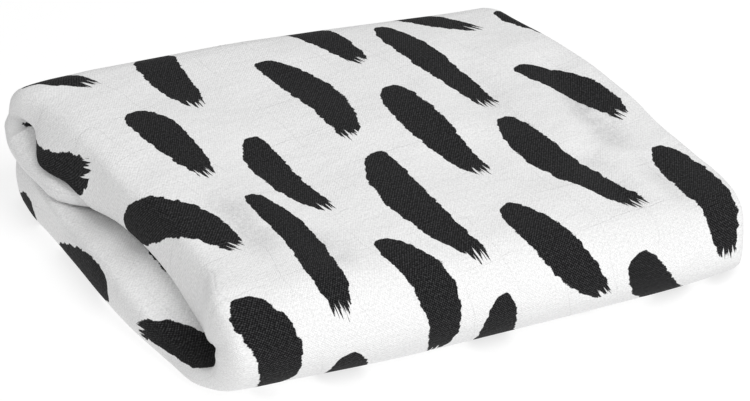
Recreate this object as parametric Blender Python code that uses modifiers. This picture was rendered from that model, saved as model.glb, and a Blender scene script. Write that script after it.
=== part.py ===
"""Folded muslin swaddle blanket, in metres, with +Z up.

One square sheet is folded in half three times to a long strip. The strip is
then folded over once and a short flap of it is tucked in between, so the
packet has three legs of eight layers. The front is one fat rounded fold along
+X and the left side shows the rolled edges of the legs.
"""

import math

import bmesh
import bpy
import numpy as np

# The cloth
CLOTH_SIDE = 1.200
CLOTH_THICKNESS = 0.0016
LAYER_GAP = 0.0008

# The legs of the folded strip, and the air between them
BOTTOM_LEG = 0.210
TOP_LEG = 0.198
LEG_GAP = 0.0026

# Cells of the grid across each fold
TIGHT_STEPS = 4
ROLL_STEPS = 6
FRONT_STEPS = 7


def thickness_after(stack, radius):
    """The height of a stack once it is folded over itself."""
    return 2 * stack + 2 * radius


def half_turn(stack, radius):
    """The cloth that the middle of a stack uses to go round a fold."""
    return math.pi * (radius + stack / 2)


TIGHT_RADIUS = LAYER_GAP / 2
HALF_1 = thickness_after(CLOTH_THICKNESS, TIGHT_RADIUS)
HALF_2 = thickness_after(HALF_1, TIGHT_RADIUS)
STRIP = thickness_after(HALF_2, TIGHT_RADIUS)
FAR_RADIUS = LEG_GAP / 2
FRONT_RADIUS = (STRIP + 2 * LEG_GAP) / 2
STACK_HEIGHT = 3 * STRIP + 2 * LEG_GAP

TURN_1 = half_turn(CLOTH_THICKNESS, TIGHT_RADIUS)
TURN_2 = half_turn(HALF_1, TIGHT_RADIUS)
TURN_3 = half_turn(HALF_2, TIGHT_RADIUS)
TURN_FRONT = half_turn(STRIP, FRONT_RADIUS)
TURN_FAR = half_turn(STRIP, FAR_RADIUS)

HALF_WIDTH = (CLOTH_SIDE - TURN_2) / 2
QUARTER = (HALF_WIDTH - TURN_3) / 2
HALF_DEPTH = (CLOTH_SIDE - TURN_1) / 2
FAR_FOLD = BOTTOM_LEG + TURN_FRONT + TOP_LEG
MIDDLE_LEG = HALF_DEPTH - FAR_FOLD - TURN_FAR

# Where the strip lies
RIGHT_SIDE = 0.1475
BOTTOM_LEG_END = 0.1130
FRONT_FOLD = BOTTOM_LEG_END - BOTTOM_LEG
FAR_FOLD_AT = FRONT_FOLD + TOP_LEG

# Grid lines that every leg shares
LEG_LINES = (0.092, 0.072, 0.052, 0.022, -0.024, -0.052, -0.075)
STRIP_SHARES = (0.25, 0.50, 0.68, 0.80, 0.91)

# The middle leg's roll lies further in than the other two
SET_BACK = 0.034
SET_BACK_FROM = 0.190
SET_BACK_START = 0.062
SET_BACK_LENGTH = 0.045
MIDDLE_EDGE = -0.152

# Past its edge the other two close on each other, and the bottom one's roll sinks
MOUTH_LENGTH = 0.020
MOUTH_FRONT = -0.126
MOUTH_FRONT_LENGTH = 0.055
SINK = 0.25

# Start and length of each soft change; a negative length runs the other way
SINK_FADE = (-0.122, -0.030)
LEAN_FADE = (0.0, -0.030)
RISE_FADE = (-0.125, 0.250)
LEFT_FADE = (0.050, -0.200)
RIGHT_FADE = (-0.050, 0.200)
FRONT_FADE = (0.020, -0.140)
BACK_FADE = (0.010, 0.100)
LIP_FADE = (-0.045, -0.090)
MIDDLE_FADE = (-0.100, -0.040)

# The same up through the middle leg, as shares of its height
LIP_RISE = (0.6, 0.4)
MIDDLE_RISE = (0.0, 0.3)
MIDDLE_FALL = (1.0, -0.3)

# The packet from front to back
DEPTH_SECTIONS = (
    # y, crease height, height share, void share, belly, left out, right in, lip in, middle out
    (-0.128, 0.003, 0.96, 0.39, 0.50, -0.0175, 0.0125, 0.000, 0.000),
    (-0.110, 0.004, 0.98, 0.38, 0.50, -0.0125, 0.002, 0.003, 0.000),
    (-0.096, 0.008, 0.99, 0.33, 0.49, -0.0065, -0.0005, 0.010, 0.000),
    (-0.082, 0.013, 1.00, 0.28, 0.49, -0.0045, -0.001, 0.016, 0.000),
    (-0.062, 0.020, 1.00, 0.20, 0.47, -0.001, 0.000, 0.020, 0.000),
    (-0.040, 0.027, 1.00, 0.16, 0.46, 0.0025, 0.0025, 0.022, 0.000),
    (0.000, 0.033, 1.00, 0.18, 0.48, 0.0055, 0.004, 0.018, 0.000),
    (0.038, 0.031, 1.00, 0.22, 0.50, 0.0065, 0.0105, 0.014, 0.000),
    (0.066, 0.029, 1.00, 0.22, 0.52, 0.008, 0.0175, 0.011, 0.000),
    (0.090, 0.030, 1.00, 0.29, 0.56, 0.0095, 0.024, 0.008, 0.003),
    (0.112, 0.034, 0.99, 0.32, 0.61, 0.007, 0.031, -0.001, 0.004),
    (0.130, 0.038, 0.97, 0.32, 0.61, -0.001, 0.0405, -0.003, 0.003),
)
Y, CREASE, SHARE, VOID, BELLY, LEFT_OUT, RIGHT_IN, LIP_IN, MIDDLE_OUT = range(9)

# The packet from left to right
WIDTH_SECTIONS = (
    # x, height at the front, height at the back, front drawn in, back drawn in
    (-0.165, 0.047, 0.060, 0.0105, -0.004),
    (-0.145, 0.052, 0.0705, 0.009, 0.0005),
    (-0.115, 0.0555, 0.0735, 0.004, 0.002),
    (-0.060, 0.0545, 0.0715, -0.0025, 0.001),
    (0.000, 0.053, 0.0685, -0.0055, 0.0015),
    (0.060, 0.0485, 0.0645, -0.0065, 0.004),
    (0.115, 0.046, 0.0675, -0.006, 0.0045),
    (0.155, 0.0395, 0.058, -0.0005, 0.004),
)
X, FRONT_HEIGHT, BACK_HEIGHT, FRONT_IN, BACK_IN = range(5)


def fade(where, start, length):
    """A soft step from nought at the start to one a length further on."""
    share = np.clip((where - start) / length, 0.0, 1.0)
    return share * share * (3 - 2 * share)


def curve(rows, column, where):
    """A smooth curve through one column of a table whose first column is the place."""
    places = np.array([row[0] for row in rows])
    values = np.array([row[column] for row in rows])
    slopes = np.gradient(values, places)
    where = np.clip(where, places[0], places[-1])
    k = np.clip(np.searchsorted(places, where) - 1, 0, len(places) - 2)
    span = places[k + 1] - places[k]
    f = (where - places[k]) / span
    return (
        (1 + 2 * f) * (1 - f) ** 2 * values[k]
        + f * (1 - f) ** 2 * span * slopes[k]
        + f * f * (3 - 2 * f) * values[k + 1]
        + f * f * (f - 1) * span * slopes[k + 1]
    )


def even(length, steps):
    """Places of the lines of a fold, from its start."""
    return [length * k / steps for k in range(1, steps + 1)]


def along_leg(start, end):
    """Places of the shared lines along a leg, from its start."""
    inside = [abs(y - start) for y in LEG_LINES if min(start, end) < y < max(start, end)]
    return sorted(inside) + [abs(end - start)]


def sheet_lines(middle_turn, zones):
    """Grid lines across the sheet: the same zones to both sides of its middle fold."""
    side = [middle_turn / 2]
    for places in zones:
        start = side[-1]
        side += [start + place for place in places]
    middle = [middle_turn * (k / TIGHT_STEPS - 0.5) for k in range(1, TIGHT_STEPS)]
    offsets = [-place for place in reversed(side)] + middle + side
    return [CLOTH_SIDE / 2 + offset for offset in offsets]


def width_lines():
    outward = [QUARTER * share for share in STRIP_SHARES] + [QUARTER]
    back = [QUARTER * (1 - share) for share in reversed(STRIP_SHARES)] + [QUARTER]
    return sheet_lines(TURN_2, (outward, even(TURN_3, ROLL_STEPS), back))


def depth_lines():
    zones = (
        along_leg(BOTTOM_LEG_END, FRONT_FOLD),
        even(TURN_FRONT, FRONT_STEPS),
        along_leg(FRONT_FOLD, FAR_FOLD_AT),
        even(TURN_FAR, ROLL_STEPS),
        along_leg(FAR_FOLD_AT, FAR_FOLD_AT - MIDDLE_LEG),
    )
    return sheet_lines(TURN_1, zones)


def fold_over(along, z, start, turn, radius, stack):
    """Carries what lies past start round a half turn and lays it back over the top."""
    angle = np.clip((along - start) / turn, 0.0, 1.0) * math.pi
    lever = radius + stack - z
    past = np.maximum(along - start - turn, 0.0)
    return (
        np.minimum(along, start) + lever * np.sin(angle) - past,
        stack + radius - lever * np.cos(angle),
    )


def folded(s, t, z):
    """Where each point of the flat sheet lies in the straight folded packet."""
    t, z = fold_over(t, z, HALF_DEPTH, TURN_1, TIGHT_RADIUS, CLOTH_THICKNESS)
    v = HALF_DEPTH - t
    s, z = fold_over(s, z, HALF_WIDTH, TURN_2, TIGHT_RADIUS, HALF_1)
    u = HALF_WIDTH - s
    u, z = fold_over(u, z, QUARTER, TURN_3, TIGHT_RADIUS, HALF_2)
    tuck_start = FAR_FOLD + TURN_FAR + FAR_FOLD_AT - SET_BACK_START
    tucked = fade(v, tuck_start, SET_BACK_LENGTH)
    near_roll = fade(u, SET_BACK_FROM, QUARTER - SET_BACK_FROM)
    u = u - SET_BACK * tucked * near_roll
    v, z = fold_over(v, z, FAR_FOLD, TURN_FAR, FAR_RADIUS, STRIP)
    v, z = fold_over(v, z, BOTTOM_LEG, TURN_FRONT, FRONT_RADIUS, STRIP)
    return RIGHT_SIDE - u, BOTTOM_LEG_END - v, z


def levels(x, y):
    """Heights of the bottom leg's top, the top leg's underside and the top."""
    front_height = curve(WIDTH_SECTIONS, FRONT_HEIGHT, x)
    rise = curve(WIDTH_SECTIONS, BACK_HEIGHT, x) - front_height
    top = front_height + rise * fade(y, *RISE_FADE)
    top = top * curve(DEPTH_SECTIONS, SHARE, y)
    void = curve(DEPTH_SECTIONS, VOID, y)
    belly = curve(DEPTH_SECTIONS, BELLY, y)
    crease = curve(DEPTH_SECTIONS, CREASE, y)
    sunk = crease * (1 - SINK * fade(x, *SINK_FADE))
    middle_edge = MIDDLE_EDGE + SET_BACK * fade(y, SET_BACK_START, -SET_BACK_LENGTH)
    lean = curve(DEPTH_SECTIONS, LIP_IN, y) * fade(y, *LEAN_FADE)
    opened = fade(y, MOUTH_FRONT, MOUTH_FRONT_LENGTH)
    under = fade(x, middle_edge + lean, -MOUTH_LENGTH) * opened
    over = fade(x, middle_edge, -MOUTH_LENGTH) * opened
    low = top * (belly - void / 2)
    high = top * (belly + void / 2)
    low = low + (sunk - LAYER_GAP / 2 - low) * under
    high = high + (crease + LAYER_GAP / 2 - high) * over
    return low, high, top


def settled(x, y, z):
    """Lets the straight stack down to the heights and the plan of the real packet."""
    low, high, top = levels(x, y)
    flat_low = STRIP
    flat_high = 2 * STRIP + 2 * LEG_GAP
    between = np.clip((z - flat_low) / (flat_high - flat_low), 0.0, 1.0)
    above = np.maximum(z - flat_high, 0.0) / (STACK_HEIGHT - flat_high)
    below = np.minimum(z, flat_low) / flat_low
    lip = fade(x, *LIP_FADE) * fade(between, *LIP_RISE)
    middle = fade(x, *MIDDLE_FADE) * fade(between, *MIDDLE_RISE) * fade(between, *MIDDLE_FALL)
    z = low * below + (high - low) * between + (top - high) * above
    x = (
        x
        + curve(DEPTH_SECTIONS, LIP_IN, y) * lip
        - curve(DEPTH_SECTIONS, MIDDLE_OUT, y) * middle
        - curve(DEPTH_SECTIONS, LEFT_OUT, y) * fade(x, *LEFT_FADE)
        - curve(DEPTH_SECTIONS, RIGHT_IN, y) * fade(x, *RIGHT_FADE)
    )
    y = (
        y
        + curve(WIDTH_SECTIONS, FRONT_IN, x) * fade(y, *FRONT_FADE)
        - curve(WIDTH_SECTIONS, BACK_IN, x) * fade(y, *BACK_FADE)
    )
    return x, y, z


def flat_sheet(s_lines, t_lines):
    """The square sheet with its thickness, on a grid of the given lines."""
    bpy.ops.mesh.primitive_grid_add(
        x_subdivisions=len(s_lines) - 1, y_subdivisions=len(t_lines) - 1, size=2
    )
    sheet = bpy.context.object
    points = np.empty(len(sheet.data.vertices) * 3)
    sheet.data.vertices.foreach_get("co", points)
    points = points.reshape(-1, 3)
    column = np.rint((points[:, 0] + 1) / 2 * (len(s_lines) - 1)).astype(int)
    row = np.rint((points[:, 1] + 1) / 2 * (len(t_lines) - 1)).astype(int)
    points[:, 0] = np.array(s_lines)[column]
    points[:, 1] = np.array(t_lines)[row]
    sheet.data.vertices.foreach_set("co", points.ravel())
    solid = sheet.modifiers.new("Thickness", "SOLIDIFY")
    solid.thickness = CLOTH_THICKNESS
    solid.offset = 1
    bpy.ops.object.modifier_apply(modifier=solid.name)
    return sheet


def split_alike(shell):
    """Splits every cell along the same diagonal of the packet, so that layers nest."""
    roll_middle = TURN_2 / 2 + QUARTER + TURN_3 / 2
    for face in shell.faces[:]:
        corners = face.verts[:]
        across = corners[2].co - corners[0].co
        place = face.calc_center_median()
        from_middle = place.x - CLOTH_SIDE / 2
        upright = from_middle * (place.y - CLOTH_SIDE / 2) * (roll_middle - abs(from_middle))
        start = 0 if across.x * across.y * upright > 0 else 1
        bmesh.utils.face_split(face, corners[start], corners[start + 2])


def fold_up(sheet):
    """Moves the sheet's points to the folded and settled packet."""
    shell = bmesh.new()
    shell.from_mesh(sheet.data)
    split_alike(shell)
    flat = np.array([point.co for point in shell.verts])
    points = np.stack(settled(*folded(*flat.T)), axis=1)
    middle = (points.min(axis=0) + points.max(axis=0)) / 2
    points = points - (middle[0], middle[1], points[:, 2].min())
    for vertex, point in zip(shell.verts, points):
        vertex.co = point
    shell.to_mesh(sheet.data)
    shell.free()
    sheet.data.shade_smooth()


def muslin():
    """Soft white woven cotton."""
    cotton = bpy.data.materials.new("white_muslin")
    cotton.use_nodes = True
    surface = cotton.node_tree.nodes["Principled BSDF"]
    surface.inputs["Base Color"].default_value = (0.88, 0.88, 0.87, 1.0)
    surface.inputs["Roughness"].default_value = 0.92
    surface.inputs["Metallic"].default_value = 0.0
    return cotton


def main():
    for item in list(bpy.data.objects):
        bpy.data.objects.remove(item)
    group = bpy.data.collections.new("folded_swaddle_blanket")
    bpy.context.scene.collection.children.link(group)
    sheet = flat_sheet(width_lines(), depth_lines())
    sheet.name = "folded_blanket"
    fold_up(sheet)
    sheet.data.materials.append(muslin())
    for home in list(sheet.users_collection):
        home.objects.unlink(sheet)
    group.objects.link(sheet)


main()
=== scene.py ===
import math

import bpy
import numpy as np
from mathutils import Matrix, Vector


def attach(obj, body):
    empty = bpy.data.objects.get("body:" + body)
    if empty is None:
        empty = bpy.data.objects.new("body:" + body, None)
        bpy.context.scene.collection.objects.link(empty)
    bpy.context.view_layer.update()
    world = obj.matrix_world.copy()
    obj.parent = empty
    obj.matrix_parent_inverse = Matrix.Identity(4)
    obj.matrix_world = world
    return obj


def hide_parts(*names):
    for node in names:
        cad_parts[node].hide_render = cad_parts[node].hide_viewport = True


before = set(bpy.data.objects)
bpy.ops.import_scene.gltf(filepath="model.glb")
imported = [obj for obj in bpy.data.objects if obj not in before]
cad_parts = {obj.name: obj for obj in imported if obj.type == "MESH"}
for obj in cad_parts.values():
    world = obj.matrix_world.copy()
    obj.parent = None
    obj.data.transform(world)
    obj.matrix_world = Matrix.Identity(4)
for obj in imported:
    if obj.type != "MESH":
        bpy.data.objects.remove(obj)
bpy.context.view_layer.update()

# the cloth and how it is folded, in metres: a square halved three times to a strip,
# and the strip folded over once with a short flap tucked in between
blanket = {
    "side": 1.200,
    "clothThickness": 0.0011,
    "hemThickness": 0.0016,
    "hemWidth": 0.009,
    "layerGap": 0.0008,
    "legGap": 0.0026,
    "edgeFullness": 0.55,  # one is a half circle, and less is squarer
    "bottomLeg": 0.210,
    "topLeg": 0.198,
    "rightSide": 0.1475,
    "bottomLegEnd": 0.1130,
    "centre": (-0.006134, -0.006039),
}

# the sheet's grid: the first of two counts is for the quarter of the sheet that ends up outside;
# a run is the length of the outer face round a fold, which the print follows
grid = {
    "fineCell": 0.0032,
    "legCell": 0.0064,
    "coarseCell": 0.0140,
    "leastCells": 3,
    "middleCells": 4,
    "rollCells": (14, 8),
    "frontCells": (28, 12),
    "farCells": (20, 10),
    "rollRun": 0.036,
    "frontRun": 0.090,
    "farRun": 0.066,
    "uvSide": 1.500,  # length of cloth along the whole side of the UV map
}

# where the flat sheet lies after each fold: stack heights, radii and turns
cloth = blanket["hemThickness"]
tightRadius = blanket["layerGap"] / 2
half1 = 2 * cloth + 2 * tightRadius
half2 = 2 * half1 + 2 * tightRadius
strip = 2 * half2 + 2 * tightRadius
farRadius = blanket["legGap"] / 2
frontRadius = (strip + 2 * blanket["legGap"]) / 2
stackHeight = 3 * strip + 2 * blanket["legGap"]
turn1 = math.pi * (tightRadius + cloth / 2)
turn2 = math.pi * (tightRadius + half1 / 2)
turn3 = math.pi * (tightRadius + half2 / 2)
turnFront = math.pi * (frontRadius + strip / 2)
turnFar = math.pi * (farRadius + strip / 2)
halfWidth = (blanket["side"] - turn2) / 2
quarter = (halfWidth - turn3) / 2
halfDepth = (blanket["side"] - turn1) / 2
farFold = blanket["bottomLeg"] + turnFront + blanket["topLeg"]
middleLeg = halfDepth - farFold - turnFar
farFoldAt = blanket["bottomLegEnd"] - blanket["bottomLeg"] + blanket["topLeg"]

# the settled packet: one row for each section across it
settle = {
    "setBack": 0.034,  # how far the tucked flap's left edge is drawn in
    "setBackFrom": 0.190,  # where that starts, from the strip's right side
    "setBackStart": 0.062,  # and where it starts on the way from the far side to the front
    "setBackLength": 0.045,
    "middleEdge": -0.152,  # the flap's left edge before it is drawn in
    "mouthLength": 0.020,  # how far past that edge the legs close to the crease
    "mouthFront": -0.126,
    "mouthFrontLength": 0.055,
    "sink": 0.25,  # share by which the bottom leg's top falls at the left
    "sinkFade": (-0.122, -0.030),
    "leanFade": (0.0, -0.030),
    "rippleFade": (0.128, -0.030),
    "riseFade": (-0.125, 0.250),
    "leftFade": (0.050, -0.200),
    "rightFade": (-0.050, 0.200),
    "frontFade": (0.020, -0.140),
    "backFade": (0.010, 0.100),
    "lipFade": (-0.045, -0.090),
    "middleFade": (-0.100, -0.040),
    "lipRise": (0.6, 0.4),
    "middleRise": (0.0, 0.3),
    "middleFall": (1.0, -0.3),
    "frontToBack": (
        # y, crease height, height share, void share, belly, left out, right in, lip in, middle out
        (-0.128, 0.003, 0.96, 0.39, 0.50, -0.0175, 0.0125, 0.000, 0.000),
        (-0.110, 0.004, 0.98, 0.38, 0.50, -0.0125, 0.002, 0.003, 0.000),
        (-0.096, 0.008, 0.99, 0.33, 0.49, -0.0065, -0.0005, 0.010, 0.000),
        (-0.082, 0.013, 1.00, 0.28, 0.49, -0.0045, -0.001, 0.016, 0.000),
        (-0.062, 0.020, 1.00, 0.20, 0.47, -0.001, 0.000, 0.020, 0.000),
        (-0.040, 0.027, 1.00, 0.16, 0.46, 0.0025, 0.0025, 0.022, 0.000),
        (0.000, 0.033, 1.00, 0.18, 0.48, 0.0055, 0.004, 0.018, 0.000),
        (0.038, 0.031, 1.00, 0.22, 0.50, 0.0065, 0.0105, 0.014, 0.000),
        (0.066, 0.029, 1.00, 0.22, 0.52, 0.008, 0.0175, 0.011, 0.000),
        (0.090, 0.030, 1.00, 0.29, 0.56, 0.0095, 0.024, 0.008, 0.003),
        (0.112, 0.034, 0.99, 0.32, 0.61, 0.007, 0.031, -0.001, 0.004),
        (0.130, 0.038, 0.97, 0.32, 0.61, -0.001, 0.0405, -0.003, 0.003),
    ),
    "leftToRight": (
        # x, height at the front, height at the back, front drawn in, back drawn in
        (-0.165, 0.047, 0.060, 0.0105, -0.004),
        (-0.145, 0.052, 0.0705, 0.009, 0.0005),
        (-0.115, 0.0555, 0.0735, 0.004, 0.002),
        (-0.060, 0.0545, 0.0715, -0.0025, 0.001),
        (0.000, 0.053, 0.0685, -0.0055, 0.0015),
        (0.060, 0.0485, 0.0655, -0.0065, 0.004),
        (0.115, 0.0445, 0.0618, -0.006, 0.0045),
        (0.155, 0.0395, 0.0592, -0.0005, 0.004),
    ),
}
creaseCol, shareCol, voidCol, bellyCol, leftOutCol, rightInCol, lipInCol, middleOutCol = range(1, 9)
frontHeightCol, backHeightCol, frontInCol, backInCol = range(1, 5)
tuckFrom = farFold + turnFar + farFoldAt - settle["setBackStart"]

# how far the grooves between the rolled edges at the left are pressed flat, as shares of
# the groove's depth; below nought they are pressed deeper
groove = {
    "depth": 0.0092,
    "fade": (-0.118, -0.028),
    "frontToBack": (
        # y, groove under the top leg, groove over the bottom leg, slope of the top leg's edge,
        # top leg's upper shoulder
        (-0.110, 0.0, 0.0, 0.1, 0.1),
        (-0.080, 0.0, 0.1, 0.15, 0.1),
        (-0.040, 0.0, 0.2, 0.15, 0.2),
        (0.000, 0.0, 0.2, 0.1, 0.3),
        (0.018, 0.0, 0.4, 0.15, 0.4),
        (0.034, 0.2, 0.6, 0.3, 0.3),
        (0.054, 0.6, 0.8, 0.6, 0.2),
        (0.072, 0.8, 0.7, 0.9, 0.1),
        (0.084, 0.3, 0.3, 0.6, 0.0),
        (0.094, -0.4, 0.0, 0.1, 0.0),
        (0.104, -0.3, 0.0, 0.0, 0.0),
        (0.115, 0.1, 0.1, 0.2, 0.0),
        (0.124, 0.1, 0.2, 0.3, 0.0),
    ),
}
upperCol, lowerCol, slopeCol, shoulderCol = range(1, 5)

# soft troughs and ridges pressed into the top, in the folded blanket's own plan
softFolds = (
    # x start, y start, x end, y end, width, height
    (0.128, 0.050, 0.121, -0.040, 0.013, -0.0034),
    (0.096, -0.040, 0.100, -0.095, 0.010, -0.0024),
    (0.112, -0.040, 0.112, -0.090, 0.010, 0.0014),
    (0.127, -0.060, 0.125, -0.105, 0.010, -0.0018),
    (0.078, 0.060, 0.074, -0.010, 0.013, -0.0020),
    (0.056, 0.070, 0.048, -0.010, 0.014, 0.0014),
    (-0.095, -0.020, -0.092, -0.066, 0.011, -0.0014),
    (-0.070, -0.060, -0.062, -0.090, 0.010, -0.0012),
    (-0.082, -0.030, -0.076, -0.080, 0.010, 0.0010),
    (-0.088, 0.090, -0.074, 0.045, 0.014, -0.0010),
    (-0.020, 0.040, -0.010, -0.050, 0.020, 0.0008),
    (0.020, -0.020, 0.036, -0.085, 0.015, -0.0008),
)

# slow unevenness of the top: its height, and two waves that cross, each as radians per metre
# along x and along y, and its start
unevenness = (
    (0.0009, (41, 23, 0.6), (17, -58, 1.9)),
    (0.0004, (97, -38, 2.2), (29, 121, 0.4)),
)


# a soft step from nought at the start to one a length further on; a negative length goes back
def fade(where, start, length):
    share = np.clip((where - start) / length, 0.0, 1.0)
    return share * share * (3 - 2 * share)


# a smooth curve through one column of a table, held level past its ends
def curve(rows, column, where):
    places = np.array([row[0] for row in rows])
    values = np.array([row[column] for row in rows])
    slopes = np.gradient(values, places)
    where = np.clip(where, places[0], places[-1])
    k = np.clip(np.searchsorted(places, where) - 1, 0, len(places) - 2)
    span = places[k + 1] - places[k]
    f = (where - places[k]) / span
    return (
        (1 + 2 * f) * (1 - f) ** 2 * values[k]
        + f * (1 - f) ** 2 * span * slopes[k]
        + f * f * (3 - 2 * f) * values[k + 1]
        + f * f * (f - 1) * span * slopes[k + 1]
    )


# carries what lies past start round a half turn and lays it back over the top;
# a fullness below one makes the turn squarer than a half circle
def foldOver(along, z, start, turn, radius, stack, fullness=1.0):
    angle = np.clip((along - start) / turn, 0.0, 1.0) * math.pi
    lever = radius + stack - z
    past = np.maximum(along - start - turn, 0.0)
    return (
        np.minimum(along, start) + lever * np.maximum(np.sin(angle), 0.0) ** fullness - past,
        stack + radius - lever * np.cos(angle),
    )


# folds the sheet in turn: three times in half, and the strip at its far and its front fold
def foldSheet(s, t, z):
    t, z = foldOver(t, z, halfDepth, turn1, tightRadius, cloth)
    v = halfDepth - t
    s, z = foldOver(s, z, halfWidth, turn2, tightRadius, half1)
    u = halfWidth - s
    u, z = foldOver(u, z, quarter, turn3, tightRadius, half2, blanket["edgeFullness"])
    tucked = fade(v, tuckFrom, settle["setBackLength"])
    nearRoll = fade(u, settle["setBackFrom"], quarter - settle["setBackFrom"])
    u = u - settle["setBack"] * tucked * nearRoll
    v, z = foldOver(v, z, farFold, turnFar, farRadius, strip)
    v, z = foldOver(v, z, blanket["bottomLeg"], turnFront, frontRadius, strip)
    return blanket["rightSide"] - u, blanket["bottomLegEnd"] - v, z


# how high the bottom leg's top, the top leg's underside and the top lie
def levelsAt(x, y):
    across, along = settle["leftToRight"], settle["frontToBack"]
    frontHeight = curve(across, frontHeightCol, x)
    rise = curve(across, backHeightCol, x) - frontHeight
    top = (frontHeight + rise * fade(y, *settle["riseFade"])) * curve(along, shareCol, y)
    void = curve(along, voidCol, y)
    belly = curve(along, bellyCol, y)
    crease = curve(along, creaseCol, y)
    sunk = crease * (1 - settle["sink"] * fade(x, *settle["sinkFade"]))
    tucked = fade(y, settle["setBackStart"], -settle["setBackLength"])
    middleEdge = settle["middleEdge"] + settle["setBack"] * tucked
    lean = curve(along, lipInCol, y) * fade(y, *settle["leanFade"])
    opened = fade(y, settle["mouthFront"], settle["mouthFrontLength"])
    under = fade(x, middleEdge + lean, -settle["mouthLength"]) * opened
    over = fade(x, middleEdge, -settle["mouthLength"]) * opened
    low = top * (belly - void / 2)
    high = top * (belly + void / 2)
    low = low + (sunk - blanket["layerGap"] / 2 - low) * under
    high = high + (crease + blanket["layerGap"] / 2 - high) * over
    return low, high, top


# the sum of the listed folds and of a slow unevenness, gone at the far fold
def ripples(x, y):
    height = np.zeros_like(x)
    for x1, y1, x2, y2, width, rise in softFolds:
        length = math.hypot(x2 - x1, y2 - y1)
        dx, dy = (x2 - x1) / length, (y2 - y1) / length
        along = (x - x1) * dx + (y - y1) * dy
        off = (x - x1) * dy - (y - y1) * dx
        ends = fade(along, -width, 2 * width) * fade(along, length + width, -2 * width)
        height += rise * np.exp(-((off / width) ** 2)) * ends
    for rise, *waves in unevenness:
        first, second = [np.sin(alongX * x + alongY * y + start) for alongX, alongY, start in waves]
        height += rise * (first * second)
    return height * fade(y, *settle["rippleFade"])


# how far a rolled edge falls short of its middle, at a share of its height
def roundness(share):
    return 1 - np.sqrt(np.maximum(1 - (2 * np.clip(share, 0.0, 1.0) - 1) ** 2, 0.0))


# how far the cloth is pushed out to the left at the grooves between the legs
def pressedOut(between, above, below, y):
    upper = curve(groove["frontToBack"], upperCol, y)
    lower = curve(groove["frontToBack"], lowerCol, y)
    push = np.where(above > 0, upper * roundness(np.minimum(above, 0.5)), 0.0)
    push = push + np.where(below < 1, lower * roundness(np.maximum(below, 0.5)), 0.0)
    push = push + curve(groove["frontToBack"], shoulderCol, y) * roundness(np.maximum(above, 0.5))
    middlePush = np.where(between > 0.5, upper, lower) * roundness(between)
    return groove["depth"] * (push + np.where((above <= 0) & (below >= 1), middlePush, 0.0))


# lays the folded stack down as it has settled, with its middle at the middle of the frame
def settleSheet(x, y, z):
    low, high, top = levelsAt(x, y)
    flatHigh = 2 * strip + 2 * blanket["legGap"]
    between = np.clip((z - strip) / (flatHigh - strip), 0.0, 1.0)
    above = np.maximum(z - flatHigh, 0.0) / (stackHeight - flatHigh)
    below = np.minimum(z, strip) / strip
    slope = curve(groove["frontToBack"], slopeCol, y)
    lip = fade(between, *settle["lipRise"]) * (1 - slope) + above * slope
    lip = fade(x, *settle["lipFade"]) * lip
    middle = fade(between, *settle["middleRise"]) * fade(between, *settle["middleFall"])
    middle = fade(x, *settle["middleFade"]) * middle
    z = low * below + (high - low) * between + (top - high) * above
    along, across = settle["frontToBack"], settle["leftToRight"]
    x = (
        x
        + curve(along, lipInCol, y) * lip
        - pressedOut(between, above, below, y) * fade(x, *groove["fade"])
        - curve(along, middleOutCol, y) * middle
        - curve(along, leftOutCol, y) * fade(x, *settle["leftFade"])
        - curve(along, rightInCol, y) * fade(x, *settle["rightFade"])
    )
    y = (
        y
        + curve(across, frontInCol, x) * fade(y, *settle["frontFade"])
        - curve(across, backInCol, x) * fade(y, *settle["backFade"])
    )
    x = x - blanket["centre"][0]
    y = y - blanket["centre"][1]
    return x, y, z + ripples(x, y) * above ** 2


# grid lines from the middle of the sheet outwards, and how far the outer face has run there
def sideLines(middleTurn, zones):
    places, run = [middleTurn / 2], [middleTurn / 2]
    for length, count, outerLength in zones:
        start, runStart = places[-1], run[-1]
        places += [start + length * k / count for k in range(1, count + 1)]
        run += [runStart + outerLength * k / count for k in range(1, count + 1)]
    return places, run


def cellCount(length, size):
    return max(grid["leastCells"], round(length / size))


# all grid lines across the sheet, its finer half first
def sheetLines(middleTurn, fineZones, coarseZones):
    middle = [middleTurn * (k / grid["middleCells"] - 0.5) for k in range(1, grid["middleCells"])]
    finePlaces, fineRun = sideLines(middleTurn, fineZones)
    coarsePlaces, coarseRun = sideLines(middleTurn, coarseZones)
    offsets = [-p for p in reversed(finePlaces)] + middle + coarsePlaces
    runs = [-p for p in reversed(fineRun)] + middle + coarseRun
    return np.array(offsets) + blanket["side"] / 2, np.array(runs) - runs[0]


def widthLines():
    fine, coarse = cellCount(quarter, grid["fineCell"]), cellCount(quarter, grid["coarseCell"])
    zones = [
        (
            (quarter, topCells, quarter),
            (turn3, rollCells, grid["rollRun"]),
            (quarter, coarse, quarter),
        )
        for topCells, rollCells in zip((fine, coarse), grid["rollCells"])
    ]
    return sheetLines(turn2, *zones)


def depthLines():
    bottomLeg, topLeg = blanket["bottomLeg"], blanket["topLeg"]
    zones = [
        (
            (bottomLeg, cellCount(bottomLeg, legCell), bottomLeg),
            (turnFront, frontCells, grid["frontRun"]),
            (topLeg, cellCount(topLeg, topCell), topLeg),
            (turnFar, farCells, grid["farRun"]),
            (middleLeg, cellCount(middleLeg, legCell), middleLeg),
        )
        for legCell, topCell, frontCells, farCells in zip(
            (grid["legCell"], grid["coarseCell"]),
            (grid["fineCell"], grid["coarseCell"]),
            grid["frontCells"],
            grid["farCells"],
        )
    ]
    return sheetLines(turn1, *zones)


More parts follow.
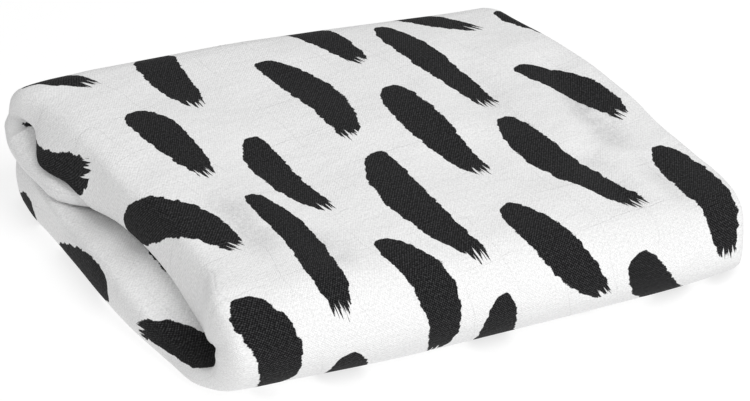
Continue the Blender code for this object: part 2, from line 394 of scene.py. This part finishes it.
# a flat grid that gets its thickness, and then has its points folded and settled
def makeSheet():
    sLines, sRun = widthLines()
    tLines, tRun = depthLines()
    bpy.ops.object.select_all(action="DESELECT")
    bpy.ops.mesh.primitive_grid_add(
        x_subdivisions=len(sLines) - 1, y_subdivisions=len(tLines) - 1, size=2
    )
    sheet = bpy.context.object
    sheet.name = sheet.data.name = "blanketSheet"
    mesh = sheet.data
    points = np.empty(len(mesh.vertices) * 3)
    mesh.vertices.foreach_get("co", points)
    points = points.reshape(-1, 3)
    column = np.rint((points[:, 0] + 1) / 2 * (len(sLines) - 1)).astype(int)
    row = np.rint((points[:, 1] + 1) / 2 * (len(tLines) - 1)).astype(int)
    points[:, 0] = sLines[column]
    points[:, 1] = tLines[row]
    mesh.vertices.foreach_set("co", points.ravel())

    # the flat cloth's own measure, true to length along the outer face
    corner = np.empty(len(mesh.loops), dtype=np.int32)
    mesh.loops.foreach_get("vertex_index", corner)
    flat = np.stack((sRun[column], tRun[row]), axis=1) / grid["uvSide"]
    layer = mesh.uv_layers[0]
    layer.name = "flatCloth"
    layer.data.foreach_set("uv", flat[corner].astype(np.float32).ravel())

    solid = sheet.modifiers.new("Thickness", "SOLIDIFY")
    solid.thickness = blanket["hemThickness"]
    solid.offset = 1
    bpy.ops.object.modifier_apply(modifier=solid.name)

    mesh = sheet.data
    points = np.empty(len(mesh.vertices) * 3)
    mesh.vertices.foreach_get("co", points)
    s, t, z = points.reshape(-1, 3).T
    toEdge = np.minimum(np.minimum(s, blanket["side"] - s), np.minimum(t, blanket["side"] - t))
    thin = blanket["clothThickness"] / blanket["hemThickness"]
    z = z * np.where(toEdge > blanket["hemWidth"], thin, 1.0)
    points = np.stack(settleSheet(*foldSheet(s, t, z)), axis=1)
    mesh.vertices.foreach_set("co", points.ravel())
    mesh.update()
    bpy.ops.object.shade_smooth()
    print("sheet folded:", len(mesh.polygons), "faces, outer face", sRun[-1], "by", tRun[-1])
    return sheet, sRun[-1], tRun[-1]


# an sRGB hex colour as linear values
def linear(hexColour):
    values = [int(hexColour[k:k + 2], 16) / 255 for k in (1, 3, 5)]
    values = [v / 12.92 if v <= 0.04045 else ((v + 0.055) / 1.055) ** 2.4 for v in values]
    return (*values, 1.0)


# adds a node with its settings; an input is set to a value, or linked to a socket or to a
# node's first output
def addNode(tree, kind, inputs=(), **settings):
    node = tree.nodes.new("ShaderNode" + kind)
    for name, value in settings.items():
        setattr(node, name, value)
    for key, value in inputs.items() if isinstance(inputs, dict) else enumerate(inputs):
        if isinstance(value, bpy.types.Node):
            value = value.outputs[0]
        if isinstance(value, bpy.types.NodeSocket):
            tree.links.new(value, node.inputs[key])
        else:
            node.inputs[key].default_value = value
    return node


# double-gauze cotton muslin, woven loosely and tacked together in a grid: matt, soft white,
# with a visible weave, faint puckered tack lines and a dark screen print of brush dabs;
# sizes are in metres, and the threads are really about 0.6 mm apart and are drawn 1.6 mm
# apart so that they show
muslin = {
    "white": "#F9F9F9",
    "shade": "#EBEBEB",
    "ink": "#0F0F10",
    "inkFaded": "#424243",
    # painted shade: the grey of the streaks along the soft troughs
    "paintedTroughGrey": "#8E8E90",
    "roughness": 0.93,
    "specular": 0.12,
    "sheen": 0.03,
    "sheenRoughness": 0.6,
    "grainTurn": 9.0,
    "threadPitch": 0.0016,
    "grainShade": 0.24,
    "grainLift": 0.18,  # gives back most of the white that the grain takes away
    "weaveShade": 0.08,
    "mottleShade": 0.5,
    "tackShade": 0.3,
    "speckWeave": 0.45,
    "specks": (0.62, 1.08),
    "relief": {
        "weave": 0.00008,
        "slub": 0.00006,
        "pucker": 0.0008,
        "tack": -0.00014,
        "hem": 0.0004,
        "stitch": -0.0004,
    },
}

# random marks in the cloth: how many to a metre across and along, detail and roughness
marks = {
    "grain": (820, 820, 2.0, 0.65),  # uneven yarn, 1.2 mm
    "slub": (500, 60, 2.0, 0.5),  # thick places in a thread, 2 x 17 mm
    "mottle": (55, 55, 4.0, 0.6),  # faint clouds in the white, 18 mm
    "wobble": (38, 38, 2.0, 0.5),  # waver of the tack lines, 26 mm
    "broken": (24, 24, 2.0, 0.5),  # breaks in the tack lines, 42 mm
    "pucker": (70, 150, 3.0, 0.5),  # puckers between the tacks, 14 x 7 mm
    "fuzz": (420, 420, 3.0, 0.7),  # speckle of the painted trough shade, 2.4 mm
    "cloud": (48, 48, 3.0, 0.5),  # cloudiness of the painted trough shade, 21 mm
    "ragged": (150, 150, 5.0, 0.62),  # torn edge of a dab, 7 mm
}


# warp crossing weft, each a wave as long as the thread spacing
def weaveWave(tree, place):
    threads = []
    for axis in (0, 1):
        turn = addNode(tree, "Math", (place.outputs[axis], 2 * math.pi / muslin["threadPitch"]),
                       operation="MULTIPLY")
        threads.append(addNode(tree, "Math", (turn,), operation="SINE"))
    return addNode(tree, "Math", threads, operation="MULTIPLY")


# lines of thread that tack the two layers together, both ways, a little wavy and partly
# sunk away
tacks = {
    "pitch": (0.0295, 0.0315),
    "width": 0.0006,
    "waver": 0.0085,
    "kept": (0.44, 0.56),  # how the lines come and go
}


def tackLines(tree, place, noise):
    waver = addNode(tree, "Math", (noise["wobble"], 0.5), operation="SUBTRACT")
    waver = addNode(tree, "Math", (waver, tacks["waver"]), operation="MULTIPLY")
    lines = []
    for axis, pitch in enumerate(tacks["pitch"]):
        across = addNode(tree, "Math", (place.outputs[axis], waver), operation="ADD")
        across = addNode(tree, "Math", (across, pitch / 2), operation="PINGPONG")
        lines.append(addNode(tree, "MapRange", (across, 0.0, tacks["width"], 1.0, 0.0),
                             interpolation_type="SMOOTHSTEP"))
    both = addNode(tree, "Math", lines, operation="MAXIMUM")
    kept = addNode(tree, "MapRange", (noise["broken"], *tacks["kept"]),
                   interpolation_type="SMOOTHSTEP")
    return addNode(tree, "Math", (both, kept), operation="MULTIPLY")


# painted shade: grey streaks laid along the soft troughs of the top, speckled and clouded
paintedTroughStreaks = {
    "fuzz": (3.2, -0.6),
    "cloud": (0.22, 0.66),
    "soft": (0.25, 1.0),  # where a streak starts to fade and where it ends, from its middle out
    "height": 0.060,  # middle of the streaks, and how far they reach up and down from it
    "halfHeight": 0.040,
    "places": (
        # x start, y start, x end, y end, half width, depth of tone
        (0.127, 0.026, 0.121, -0.040, 0.018, 0.36),
        (0.096, -0.048, 0.100, -0.096, 0.014, 0.24),
        (0.128, -0.052, 0.126, -0.104, 0.014, 0.16),
        (-0.096, -0.020, -0.092, -0.068, 0.017, 0.24),
        (-0.072, -0.060, -0.062, -0.090, 0.016, 0.26),
        (0.077, 0.044, 0.074, -0.002, 0.018, 0.12),
    ),
}


# how much painted trough shade lies at each point, speckled and clouded
def paintedTroughShare(tree, noise):
    cloud = addNode(tree, "MapRange", (noise["cloud"], *paintedTroughStreaks["cloud"]),
                    interpolation_type="SMOOTHSTEP")
    speckled = addNode(tree, "Math", (noise["fuzz"], *paintedTroughStreaks["fuzz"]), operation="MULTIPLY_ADD")
    speckled = addNode(tree, "Math", (speckled, cloud), operation="MULTIPLY")
    place = addNode(tree, "TexCoord").outputs["Object"]
    tone = 0.0
    for x1, y1, x2, y2, width, depth in paintedTroughStreaks["places"]:
        patch = addNode(tree, "Mapping", {
            "Vector": place,
            "Location": ((x1 + x2) / 2, (y1 + y2) / 2, paintedTroughStreaks["height"]),
            "Rotation": (0, 0, math.atan2(y2 - y1, x2 - x1)),
            "Scale": (math.hypot(x2 - x1, y2 - y1) / 2 + width, width, paintedTroughStreaks["halfHeight"]),
        }, vector_type="TEXTURE")
        away = addNode(tree, "VectorMath", (patch,), operation="LENGTH").outputs["Value"]
        patch = addNode(tree, "MapRange", (away, *paintedTroughStreaks["soft"], depth, 0.0),
                        interpolation_type="SMOOTHSTEP")
        tone = addNode(tree, "Math", (patch, speckled, tone), operation="MULTIPLY_ADD")
    return tone


# the turned edge, and a row of stitches along it
hemLine = {
    "slope": 0.0004,  # over which the hem steps down to the single cloth
    "seamFromEdge": 0.0072,
    "seamWidth": (0.0002, 0.0005),
    "stitchPitch": 0.0032,
    "stitchGap": (0.0003, 0.0005),
}


def hemAndStitches(tree, flat, runs):
    place = addNode(tree, "SeparateXYZ", (flat,))
    toEdges = []
    for axis, run in enumerate(runs):
        back = addNode(tree, "Math", (run, place.outputs[axis]), operation="SUBTRACT")
        toEdges.append(addNode(tree, "Math", (place.outputs[axis], back), operation="MINIMUM"))
    toEdge = addNode(tree, "Math", toEdges, operation="MINIMUM")
    hemWidth = blanket["hemWidth"]
    hem = addNode(tree, "MapRange", (toEdge, hemWidth - hemLine["slope"], hemWidth, 1.0, 0.0),
                  interpolation_type="SMOOTHSTEP")
    along = addNode(tree, "Math", (place.outputs[0], place.outputs[1]), operation="ADD")
    along = addNode(tree, "Math", (along, hemLine["stitchPitch"] / 2), operation="PINGPONG")
    dash = addNode(tree, "MapRange", (along, *hemLine["stitchGap"]), interpolation_type="SMOOTHSTEP")
    off = addNode(tree, "Math", (toEdge, hemLine["seamFromEdge"]), operation="SUBTRACT")
    off = addNode(tree, "Math", (off,), operation="ABSOLUTE")
    seam = addNode(tree, "MapRange", (off, *hemLine["seamWidth"], 1.0, 0.0),
                   interpolation_type="SMOOTHSTEP")
    return hem, addNode(tree, "Math", (seam, dash), operation="MULTIPLY")


# brush dabs in staggered columns, with torn edges and dry ends; tilt, length, bow and
# raggedness are each the least and the most that chance can deal
dabs = {
    "shift": (0.030, 0.030),
    "pitch": (0.046, 0.106),
    "columnsBefore": 40.0,  # an even number that keeps the count of columns above nought
    "luck": 3.0,  # another number deals other tilts, lengths and bows
    "tilt": (-0.20, 0.40),
    "length": (0.06732, 0.102),
    "bow": (-0.010, 0.010),
    "raggedness": (-0.0035, 0.0035),
    "halfWidth": 0.0130,
    "bluntness": 0.42,
    "startWidth": 1.15,
    "narrowing": -0.45,
    "edge": (0.0, 0.0005),
    "endRaggedness": 0.03,
    "end": (0.018, 0.023),
    "dry": (0.62, 1.05),  # where along the dab the brush begins to run dry, and would be dry
    "dryness": 0.62,
    "bristle": (640, 26, 3.0, 0.5),  # streaks of single bristles, 1.6 x 38 mm, as in marks
    "bristleEdge": (-0.02, 0.02),
}


# the dabs of one column, each with its own length, tilt and bow
def dabsOf(tree, column, printX, printY, ragged):
    pitchX, pitchY = dabs["pitch"]
    odd = addNode(tree, "Math", (column, dabs["columnsBefore"]), operation="ADD")
    odd = addNode(tree, "Math", (odd, 2.0), operation="MODULO")
    stagger = addNode(tree, "Math", (odd, pitchY / 2), operation="MULTIPLY")
    shifted = addNode(tree, "Math", (printY, stagger), operation="ADD")
    row = addNode(tree, "Math", (shifted, pitchY), operation="DIVIDE")
    row = addNode(tree, "Math", (row,), operation="FLOOR")
    centreX = addNode(tree, "Math", (column, pitchX, pitchX / 2), operation="MULTIPLY_ADD")
    centreY = addNode(tree, "Math", (row, pitchY, pitchY / 2), operation="MULTIPLY_ADD")
    localX = addNode(tree, "Math", (printX, centreX), operation="SUBTRACT")
    localY = addNode(tree, "Math", (shifted, centreY), operation="SUBTRACT")
    cell = addNode(tree, "CombineXYZ", (column, row, dabs["luck"]))
    chance = addNode(tree, "TexWhiteNoise", (cell,), noise_dimensions="3D").outputs["Color"]
    luck = addNode(tree, "SeparateColor", (chance,)).outputs
    dealt = {}
    for k, name in enumerate(("tilt", "length", "bow")):
        least, most = dabs[name]
        dealt[name] = addNode(tree, "Math", (luck[k], most - least, least), operation="MULTIPLY_ADD")

    # the dab's own space, and its outline
    local = addNode(tree, "CombineXYZ", (localX, localY, 0.0))
    dabSpace = addNode(tree, "VectorRotate", {"Vector": local, "Angle": dealt["tilt"]},
                       rotation_type="Z_AXIS")
    place = addNode(tree, "SeparateXYZ", (dabSpace,))
    share = addNode(tree, "Math", (place.outputs[1], dealt["length"]), operation="DIVIDE")
    share = addNode(tree, "Math", (share, 0.5), operation="ADD")
    rest = addNode(tree, "Math", (1.0, share), operation="SUBTRACT")
    inside = addNode(tree, "Math", (share, rest), operation="MULTIPLY")
    arch = addNode(tree, "Math", (inside, 4.0), operation="MULTIPLY")
    oval = addNode(tree, "Math", (arch, 0.0), operation="MAXIMUM")
    oval = addNode(tree, "Math", (oval, dabs["bluntness"]), operation="POWER")
    taper = addNode(tree, "Math", (share, dabs["narrowing"], dabs["startWidth"]),
                    operation="MULTIPLY_ADD")
    reach = addNode(tree, "Math", (oval, taper), operation="MULTIPLY")
    reach = addNode(tree, "Math", (reach, dabs["halfWidth"]), operation="MULTIPLY")
    bow = addNode(tree, "Math", (dealt["bow"], arch), operation="MULTIPLY")
    off = addNode(tree, "Math", (place.outputs[0], bow), operation="SUBTRACT")
    off = addNode(tree, "Math", (off,), operation="ABSOLUTE")
    edge = addNode(tree, "Math", (reach, off), operation="SUBTRACT")
    least, most = dabs["raggedness"]
    torn = addNode(tree, "Math", (ragged, most - least, least), operation="MULTIPLY_ADD")
    edge = addNode(tree, "Math", (edge, torn), operation="ADD")
    edge = addNode(tree, "MapRange", (edge, *dabs["edge"]), interpolation_type="SMOOTHSTEP")
    ends = addNode(tree, "Math", (ragged, dabs["endRaggedness"], inside), operation="MULTIPLY_ADD")
    ends = addNode(tree, "MapRange", (ends, *dabs["end"]), interpolation_type="SMOOTHSTEP")
    body = addNode(tree, "Math", (edge, ends), operation="MULTIPLY")

    # the brush runs dry towards the end and leaves streaks
    across, along, detail, roughness = dabs["bristle"]
    streaks = addNode(tree, "Mapping", {"Vector": dabSpace, "Scale": (across, along, 1)})
    streaks = addNode(tree, "TexNoise", {"Vector": streaks, "Scale": 1.0, "Detail": detail,
                                         "Roughness": roughness})
    dryness = addNode(tree, "MapRange", (share, *dabs["dry"]), interpolation_type="SMOOTHSTEP")
    dryness = addNode(tree, "Math", (dryness, dabs["dryness"]), operation="MULTIPLY")
    wet = addNode(tree, "Math", (streaks, dryness), operation="SUBTRACT")
    wet = addNode(tree, "MapRange", (wet, *dabs["bristleEdge"]), interpolation_type="SMOOTHSTEP")
    full = addNode(tree, "Math", (share, dabs["dry"][0]), operation="LESS_THAN")
    wet = addNode(tree, "Math", (wet, full), operation="MAXIMUM")
    return addNode(tree, "Math", (body, wet), operation="MULTIPLY")


# the dabs of this column and of the nearer one beside it, which may lean in
def brushPrint(tree, place, ragged):
    printX, printY = [
        addNode(tree, "Math", (place.outputs[axis], dabs["shift"][axis]), operation="ADD")
        for axis in (0, 1)
    ]
    inCells = addNode(tree, "Math", (printX, dabs["pitch"][0]), operation="DIVIDE")
    column = addNode(tree, "Math", (inCells,), operation="FLOOR")
    middle = addNode(tree, "Math", (column, 0.5), operation="ADD")
    nearer = addNode(tree, "Math", (inCells, middle), operation="SUBTRACT")
    nearer = addNode(tree, "Math", (nearer,), operation="SIGN")
    nearer = addNode(tree, "Math", (column, nearer), operation="ADD")
    both = [dabsOf(tree, one, printX, printY, ragged) for one in (column, nearer)]
    return addNode(tree, "Math", both, operation="MAXIMUM")


# the runs are the outer face's width and depth; a Mix node has its two colours at its inputs 6
# and 7, and the mixed one at its output 2
def muslinMaterial(*runs):
    material = bpy.data.materials.new("doubleGauzeMuslin")
    material.use_nodes = True
    tree = material.node_tree
    tree.nodes.clear()
    out = addNode(tree, "OutputMaterial")
    side = grid["uvSide"]
    uv = addNode(tree, "UVMap", uv_map="flatCloth")
    flat = addNode(tree, "Mapping", {"Vector": uv, "Scale": (side, side, 1)})
    turned = addNode(tree, "Mapping",
                     {"Vector": flat, "Rotation": (0, 0, math.radians(muslin["grainTurn"]))})
    place = addNode(tree, "SeparateXYZ", (turned,))
    noise = {}
    for name, (across, along, detail, roughness) in marks.items():
        scaled = addNode(tree, "Mapping", {"Vector": turned, "Scale": (across, along, 1)})
        noise[name] = addNode(tree, "TexNoise", {"Vector": scaled, "Scale": 1.0, "Detail": detail,
                                                 "Roughness": roughness})
    weave = weaveWave(tree, place)
    tack = tackLines(tree, place, noise)
    hem, stitch = hemAndStitches(tree, flat, runs)
    ink = brushPrint(tree, place, noise["ragged"])

    # the cloth's white, greyer in its clouds, tack lines and yarn, and with painted shade along the
    # soft troughs
    shade = addNode(tree, "Math", (tack, muslin["tackShade"]), operation="MULTIPLY")
    shade = addNode(tree, "Math", (noise["mottle"], muslin["mottleShade"], shade),
                    operation="MULTIPLY_ADD", use_clamp=True)
    cloudedWhite = addNode(tree, "Mix", {0: shade, 6: linear(muslin["white"]),
                                         7: linear(muslin["shade"])}, data_type="RGBA").outputs[2]
    # painted shade mixed in along the soft troughs
    troughShaded = addNode(tree, "Mix", {0: paintedTroughShare(tree, noise), 6: cloudedWhite,
                                     7: linear(muslin["paintedTroughGrey"])}, data_type="RGBA").outputs[2]
    raised = addNode(tree, "Math", (weave, 0.5, 0.5), operation="MULTIPLY_ADD")
    yarn = addNode(tree, "Math", (noise["grain"], -2 * muslin["grainShade"], 1 + muslin["grainLift"]),
                   operation="MULTIPLY_ADD")
    yarn = addNode(tree, "Math", (raised, -muslin["weaveShade"], yarn), operation="MULTIPLY_ADD",
                   use_clamp=True)
    clothTone = addNode(tree, "Mix", {0: 1.0, 6: troughShaded, 7: yarn}, data_type="RGBA",
                        blend_type="MULTIPLY").outputs[2]

    # the ink, paler in specks where the yarn stands up
    specks = addNode(tree, "Math", (raised, muslin["speckWeave"], noise["grain"]),
                     operation="MULTIPLY_ADD")
    specks = addNode(tree, "MapRange", (specks, *muslin["specks"]), interpolation_type="SMOOTHSTEP")
    inkTone = addNode(tree, "Mix", {0: specks, 6: linear(muslin["ink"]),
                                    7: linear(muslin["inkFaded"])}, data_type="RGBA").outputs[2]
    colour = addNode(tree, "Mix", {0: ink, 6: clothTone, 7: inkTone}, data_type="RGBA").outputs[2]

    layers = {"weave": weave, "slub": noise["slub"], "pucker": noise["pucker"], "tack": tack,
              "hem": hem, "stitch": stitch}
    relief = 0.0
    for name, height in muslin["relief"].items():
        relief = addNode(tree, "Math", (layers[name], height, relief), operation="MULTIPLY_ADD")
    bump = addNode(tree, "Bump", {"Height": relief, "Strength": 1.0, "Distance": 1.0})
    surface = addNode(tree, "BsdfPrincipled", {
        "Base Color": colour,
        "Roughness": muslin["roughness"],
        "Specular IOR Level": muslin["specular"],
        "Sheen Weight": muslin["sheen"],
        "Sheen Roughness": muslin["sheenRoughness"],
        "Normal": bump,
    })
    tree.links.new(surface.outputs[0], out.inputs[0])
    return material


sheet, runWide, runDeep = makeSheet()
sheet.data.materials.clear()
sheet.data.materials.append(muslinMaterial(runWide, runDeep))
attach(sheet, "root")
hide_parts("folded_blanket")
print("muslin on the sheet")

# the studio: a plain white floor that glows a little, an even white surround, one soft key from
# the front and a small fill for the near left corner
studio = {
    "floorSize": 6.0,
    "floorWhite": "#949494",
    "floorGlow": 0.76,
    "surround": 0.450,
    "plainWhite": "#FFFFFF",
    "lights": (
        # name, place, aim, side, power
        ("softKey", (0.50, -1.22, 1.72), (0.0, 0.0, 0.0), 1.3, 28.4),
        ("cornerFill", (-0.46, -0.62, 0.50), (-0.13, -0.08, 0.02), 0.4, 0.85),
    ),
    "elevation": 30.53,
    "azimuth": 26.16,
    "lens": 132.0,
    "sensor": 36.0,
    "nearClip": 0.05,
    "distance": 1.4100,
    "target": (-0.0049, -0.0106, 0.030),
}

bpy.ops.object.select_all(action="DESELECT")
bpy.ops.mesh.primitive_plane_add(size=studio["floorSize"])
floor = bpy.context.object
floor.name = "floor"
paper = bpy.data.materials.new("mattWhitePaper")
paper.use_nodes = True
paperSurface = paper.node_tree.nodes["Principled BSDF"].inputs
paperSurface["Base Color"].default_value = linear(studio["floorWhite"])
paperSurface["Emission Color"].default_value = linear(studio["plainWhite"])
paperSurface["Emission Strength"].default_value = studio["floorGlow"]
paperSurface["Roughness"].default_value = 1.0
paperSurface["Specular IOR Level"].default_value = 0.0
floor.data.materials.append(paper)

world = bpy.data.worlds.new("studioSurround")
world.use_nodes = True
surround = world.node_tree.nodes["Background"].inputs
surround["Color"].default_value = linear(studio["plainWhite"])
surround["Strength"].default_value = studio["surround"]
bpy.context.scene.world = world

for name, place, aim, side, power in studio["lights"]:
    light = bpy.data.lights.new(name, "AREA")
    light.shape = "SQUARE"
    light.size = side
    light.energy = power
    lamp = bpy.data.objects.new(name, light)
    lamp.location = place
    lamp.rotation_euler = (Vector(aim) - Vector(place)).to_track_quat("-Z", "Y").to_euler()
    bpy.context.scene.collection.objects.link(lamp)

lens = bpy.data.cameras.new("photoCamera")
lens.lens = studio["lens"]
lens.sensor_width = studio["sensor"]
lens.clip_start = studio["nearClip"]
camera = bpy.data.objects.new("photoCamera", lens)
elevation, azimuth = math.radians(studio["elevation"]), math.radians(studio["azimuth"])
looking = Vector((
    math.sin(azimuth) * math.cos(elevation),
    math.cos(azimuth) * math.cos(elevation),
    -math.sin(elevation),
))
camera.location = Vector(studio["target"]) - looking * studio["distance"]
camera.rotation_euler = looking.to_track_quat("-Z", "Y").to_euler()
bpy.context.scene.collection.objects.link(camera)
bpy.context.scene.camera = camera
bpy.context.scene.view_settings.view_transform = "Standard"
print("studio set")
